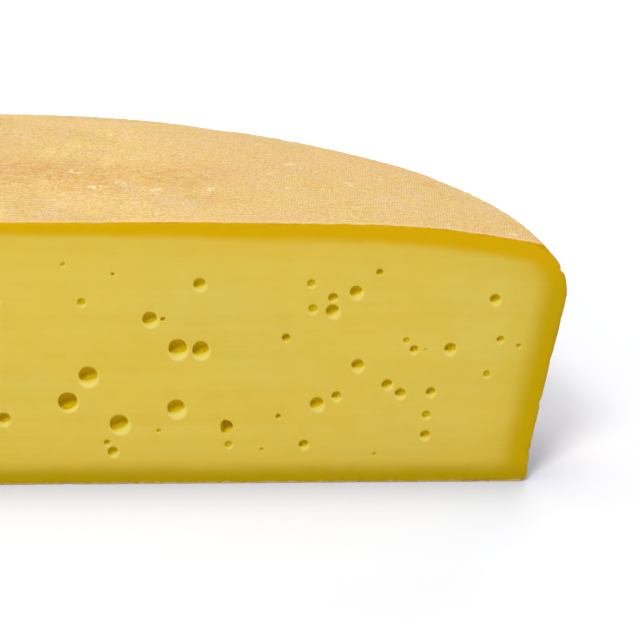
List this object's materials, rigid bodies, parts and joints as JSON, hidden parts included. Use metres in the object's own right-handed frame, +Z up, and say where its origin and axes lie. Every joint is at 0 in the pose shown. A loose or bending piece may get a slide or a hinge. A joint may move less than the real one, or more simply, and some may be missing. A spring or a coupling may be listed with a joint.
{
  "type": "mountain cheese half wheel",
  "caption": "Half wheel of semi-hard mountain cheese, cut flat through the middle, with round eyes in the pale paste and a washed, cloth-marked rind.",
  "frame": {"origin": "middle of the bounding box, at the base the cheese rests on", "axes": "+X along the cut, +Y from the cut face to the round back, +Z up; the cut face looks towards -Y"},
  "size_m": [0.32, 0.16, 0.078],
  "materials": {
    "cheese": "smooth yellow paste with a soft waxy sheen, dry tan washed rind"
  },
  "bodies": {
    "root": {"half_wheel": "cheese"}
  },
  "joints": []
}
